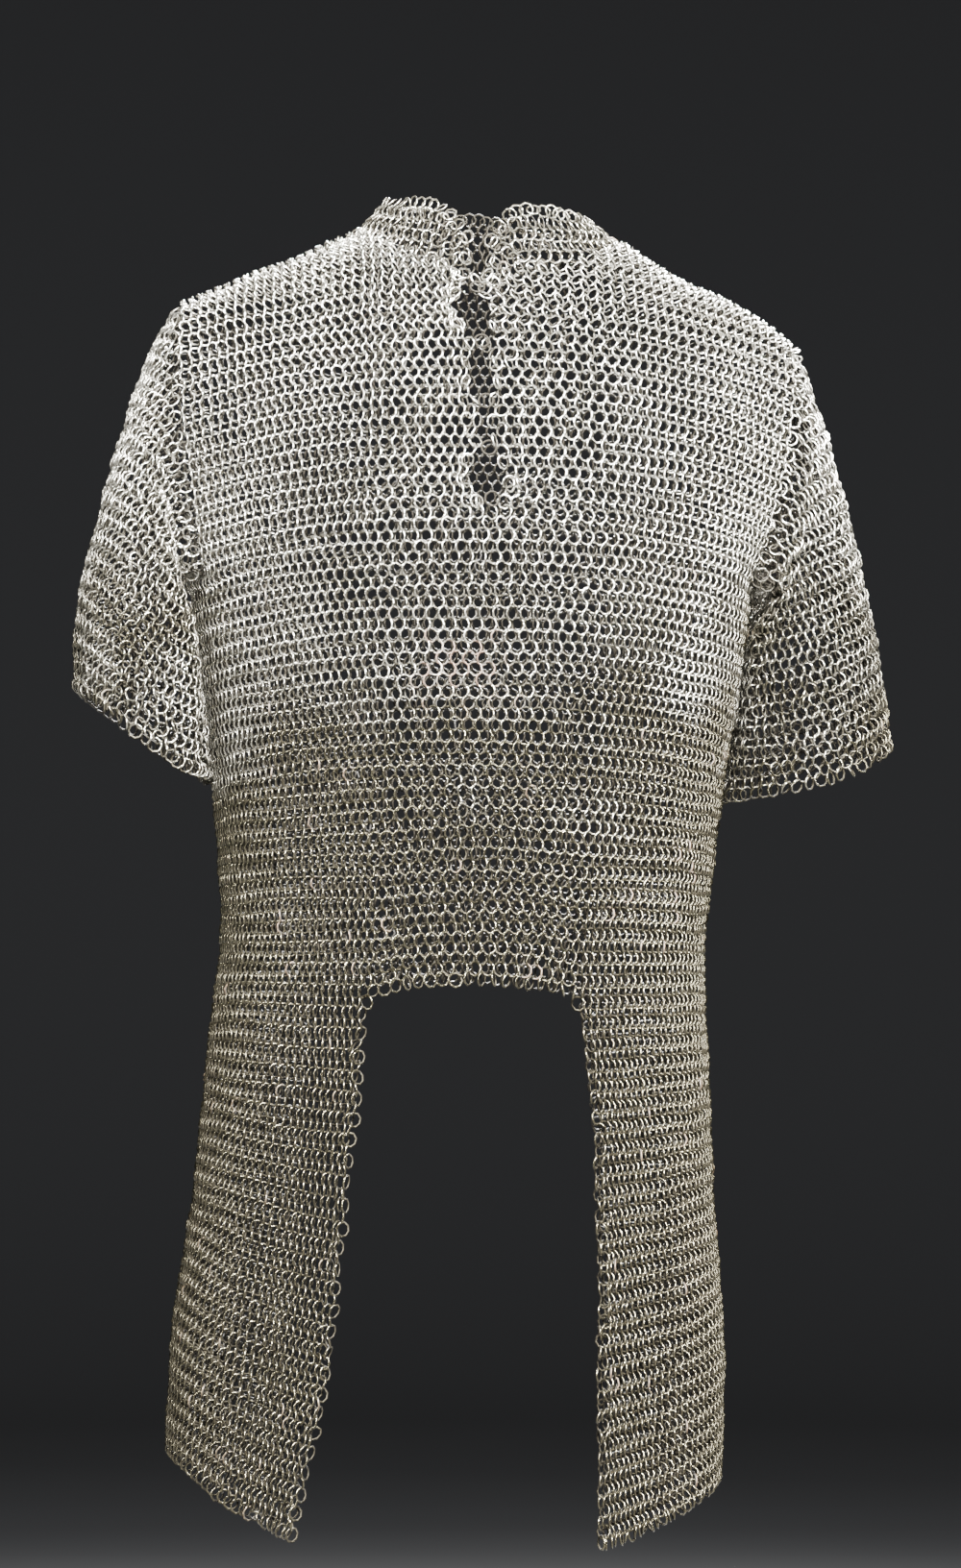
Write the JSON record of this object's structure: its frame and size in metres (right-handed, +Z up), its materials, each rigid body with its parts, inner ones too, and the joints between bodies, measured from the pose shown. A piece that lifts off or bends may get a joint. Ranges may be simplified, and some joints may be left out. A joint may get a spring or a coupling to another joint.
{
  "type": "chainmail hauberk",
  "caption": "Short-sleeved mail shirt in its worn, hollow form, with a standing collar, a linked neck slit and open skirts at front and back.",
  "frame": {"origin": "middle of the neck opening, level with the top of the shoulders beside it, where the wearer holds it up", "axes": "+Z up, -Y the front, +X the wearer's left"},
  "size_m": [0.5213, 0.2547, 0.8438],
  "materials": {
    "mail": "worn steel rings, bright on their crowns and dull grey-olive between",
    "mail_lower": "the same rings with more of an olive-brown patina",
    "links": "bare steel wire"
  },
  "bodies": {
    "root": {"front": "mail", "back": "mail", "collar": "mail", "sleeve_left": "mail", "sleeve_right": "mail", "skirt_left": "mail_lower", "skirt_right": "mail_lower", "neck_link_1": "links", "neck_link_2": "links", "neck_link_3": "links", "neck_link_4": "links", "neck_link_5": "links"}
  },
  "joints": []
}
